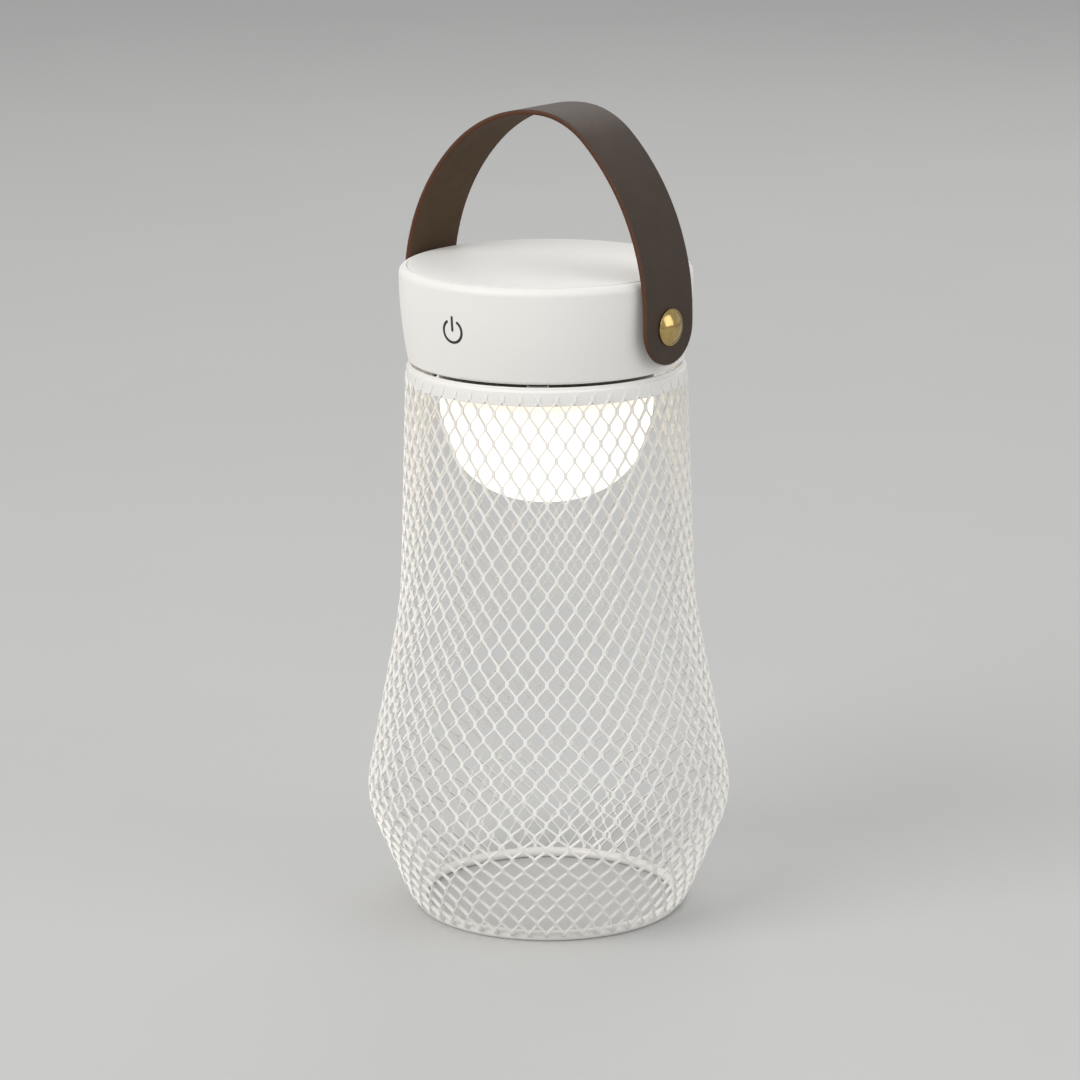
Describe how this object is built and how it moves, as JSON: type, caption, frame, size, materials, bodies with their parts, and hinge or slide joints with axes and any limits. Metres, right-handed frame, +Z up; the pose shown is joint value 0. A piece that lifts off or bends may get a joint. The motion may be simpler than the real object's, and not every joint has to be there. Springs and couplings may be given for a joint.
{
  "type": "lantern table lamp",
  "caption": "Portable battery lantern lamp: a drum head with a touch mark, an opal dome, a flared metal mesh shade on a foot ring and a leather strap handle on brass rivets.",
  "frame": {"origin": "middle of the foot ring on the surface that the lamp stands on", "axes": "+Z up, X along the strap's rivets, -Y towards the touch mark, +Y towards the charging port"},
  "size_m": [0.124, 0.124, 0.275],
  "materials": {
    "head_plastic": "fine matt warm white moulding",
    "cover_plastic": "fine matt warm white moulding",
    "black_print": "matt printed ink",
    "copper": "bare copper foil",
    "brass": "polished",
    "washer_plastic": "smooth nylon",
    "leather": "smooth dark brown leather, raw edges",
    "plate_aluminium": "stamped sheet",
    "led_board": "white solder mask on an aluminium core",
    "led_body": "yellow phosphor in a white body",
    "opal_plastic": "translucent opal white",
    "white_coat": "glossy warm white powder coat",
    "zinc_steel": "zinc plated",
    "spacer_plastic": "smooth moulding",
    "tray_plastic": "fine matt moulding",
    "cell_wrap": "shrink sleeve over a steel can",
    "nickel_strip": "spot welded nickel",
    "foam": "closed cell foam",
    "circuit_board": "green solder mask",
    "components": "moulded packages",
    "socket_steel": "drawn stainless shell",
    "light_pipe": "clear moulding",
    "wire_red": "insulated wire",
    "wire_white": "insulated wire"
  },
  "bodies": {
    "lamp": {"head_housing": "head_plastic", "top_cover": "cover_plastic", "power_symbol": "black_print", "touch_pad": "copper", "rivet_right": "brass", "rivet_left": "brass", "rivet_burrs": "brass", "pivot_washers": "washer_plastic", "base_plate": "plate_aluminium", "led_board": "led_board", "led_chips": "led_body", "led_board_screws": "zinc_steel", "diffuser_dome": "opal_plastic", "diffuser_screws": "zinc_steel", "collar_band": "white_coat", "collar_spacers": "spacer_plastic", "collar_screws": "zinc_steel", "mesh_shade": "white_coat", "foot_ring": "white_coat", "battery_tray": "tray_plastic", "tray_screws": "zinc_steel", "battery_cells": "cell_wrap", "cell_strips": "nickel_strip", "battery_foam": "foam", "control_board": "circuit_board", "board_screws": "zinc_steel", "board_components": "components", "usb_socket": "socket_steel", "charge_light_pipe": "light_pipe", "battery_leads": "wire_red", "led_leads": "wire_white", "touch_lead": "wire_white"},
    "handle": {"handle_strap": "leather"}
  },
  "joints": [
    {"name": "handle_swing", "type": "hinge", "parent": "lamp", "child": "handle", "pos_m": [0, 0, 0.2065], "axis": [1, 0, 0], "range_deg": [-115, 115]}
  ]
}
